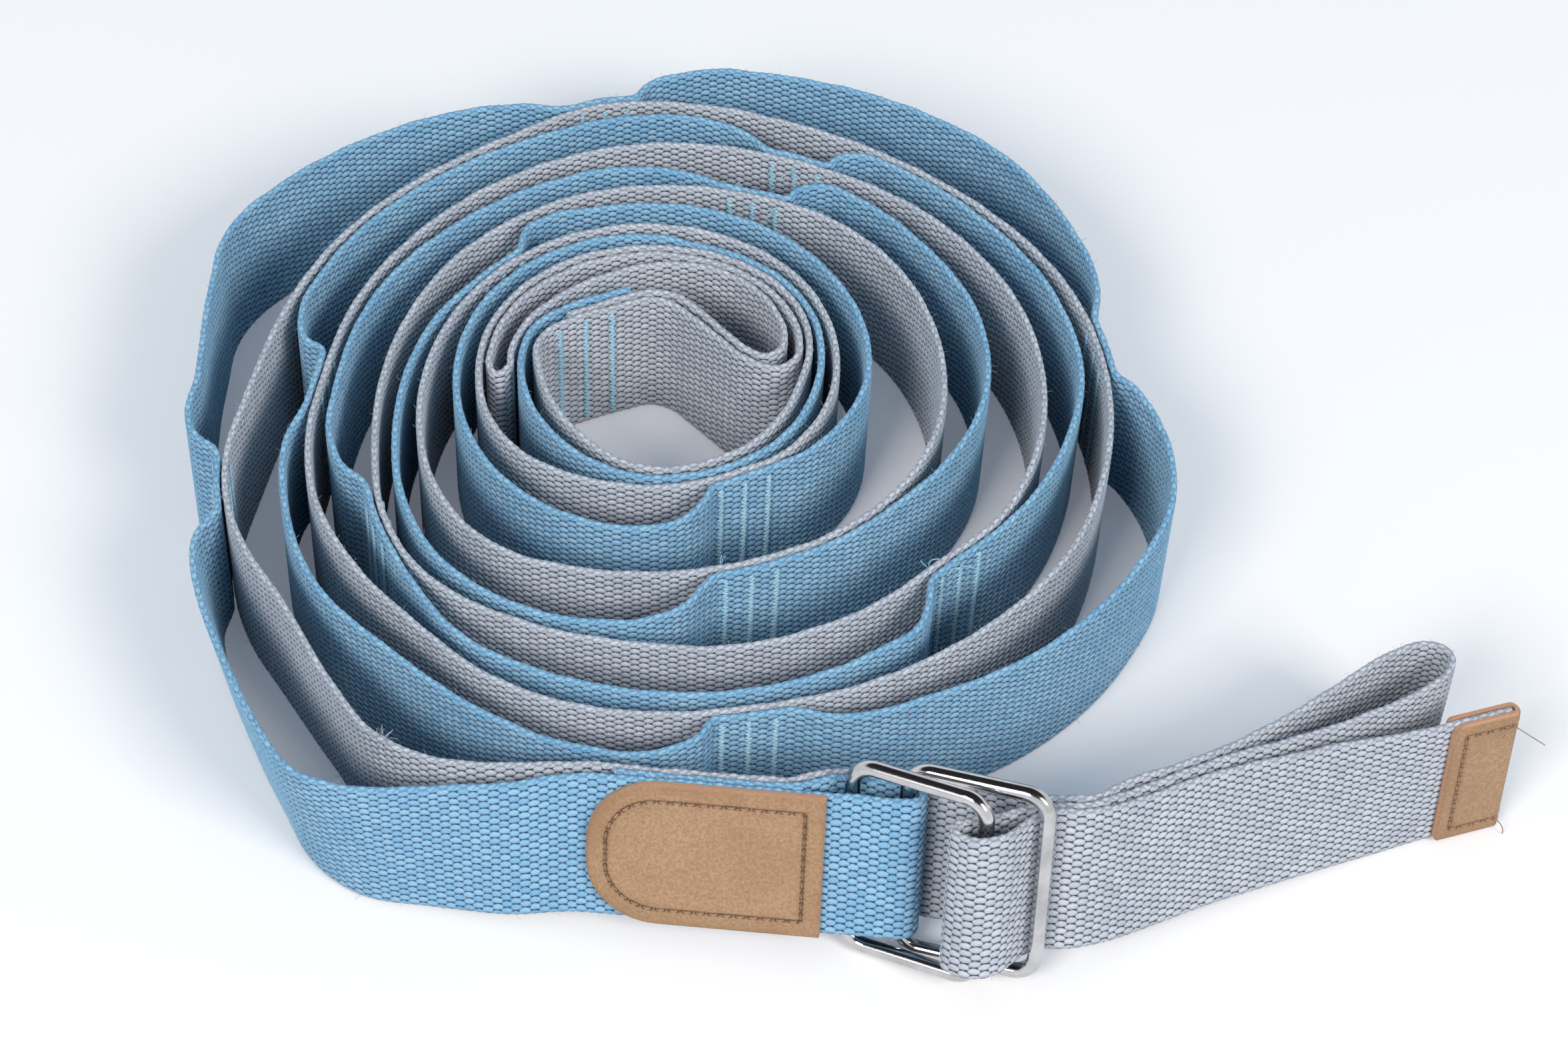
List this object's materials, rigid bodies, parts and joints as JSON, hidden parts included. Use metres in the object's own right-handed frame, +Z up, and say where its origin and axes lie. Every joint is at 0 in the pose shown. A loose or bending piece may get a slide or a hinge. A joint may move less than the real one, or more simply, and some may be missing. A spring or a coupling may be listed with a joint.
{
  "type": "multi-loop stretching strap",
  "caption": "Rolled webbing strap with a row of sewn hand loops, a folded hand grip, a double-ring buckle, an end loop and a leather-tipped tail.",
  "frame": {"origin": "under the middle of the rolled strap, on the surface that it rests on", "axes": "+X along the front run towards the tail, +Y away from the buckle side, +Z up"},
  "size_m": [0.3078, 0.2641, 0.0528],
  "materials": {
    "grey_webbing": "woven, matt",
    "blue_webbing": "woven, matt",
    "thread": "matt sewing thread",
    "steel": "polished nickel",
    "leather": "smooth, satin",
    "leather_thread": "waxed thread"
  },
  "bodies": {
    "roll": {"hand_grip": "grey_webbing", "base_01": "grey_webbing", "base_02": "grey_webbing", "base_03": "grey_webbing", "base_04": "grey_webbing", "base_05": "grey_webbing", "base_06": "grey_webbing", "base_07": "grey_webbing", "base_08": "grey_webbing", "base_09": "grey_webbing", "base_10": "grey_webbing", "base_11": "grey_webbing", "base_12": "grey_webbing", "base_13": "grey_webbing", "base_14": "grey_webbing", "loop_01": "blue_webbing", "loop_02": "blue_webbing", "loop_03": "blue_webbing", "loop_04": "blue_webbing", "loop_05": "blue_webbing", "loop_06": "blue_webbing", "loop_07": "blue_webbing", "loop_08": "blue_webbing", "loop_09": "blue_webbing", "loop_10": "blue_webbing", "loop_11": "blue_webbing", "loop_12": "blue_webbing", "loop_13": "blue_webbing", "loop_14": "blue_webbing", "tack_01": "thread", "tack_02": "thread", "tack_03": "thread", "tack_04": "thread", "tack_05": "thread", "tack_06": "thread", "tack_07": "thread", "tack_08": "thread", "tack_09": "thread", "tack_10": "thread", "tack_11": "thread", "tack_12": "thread", "tack_13": "thread", "tack_14": "thread", "front_strap": "blue_webbing", "ring_fold": "blue_webbing", "base_front": "grey_webbing", "leather_patch": "leather", "patch_stitching": "leather_thread", "buckle_wrap": "grey_webbing", "end_loop": "grey_webbing"},
    "front_ring": {"front_ring": "steel"},
    "rear_ring": {"rear_ring": "steel"},
    "tail": {"tail": "grey_webbing", "tail_tip": "leather", "tip_stitching": "leather_thread"}
  },
  "joints": [
    {"name": "front_ring_swing", "type": "hinge", "parent": "roll", "child": "front_ring", "pos_m": [0.00265, -0.10953, 0.02388], "axis": [-0.0046, -0.2935, -0.9559], "range_deg": [-0.6, 2.5]},
    {"name": "rear_ring_swing", "type": "hinge", "parent": "roll", "child": "rear_ring", "pos_m": [0.01458, -0.11075, 0.0242], "axis": [-0.0046, -0.2935, -0.9559], "range_deg": [0, 6]},
    {"name": "tail_lift", "type": "hinge", "parent": "roll", "child": "tail", "pos_m": [0.05275, -0.11588, 0.02559], "axis": [-0.0046, -0.2935, -0.9559], "range_deg": [0, 20]}
  ]
}
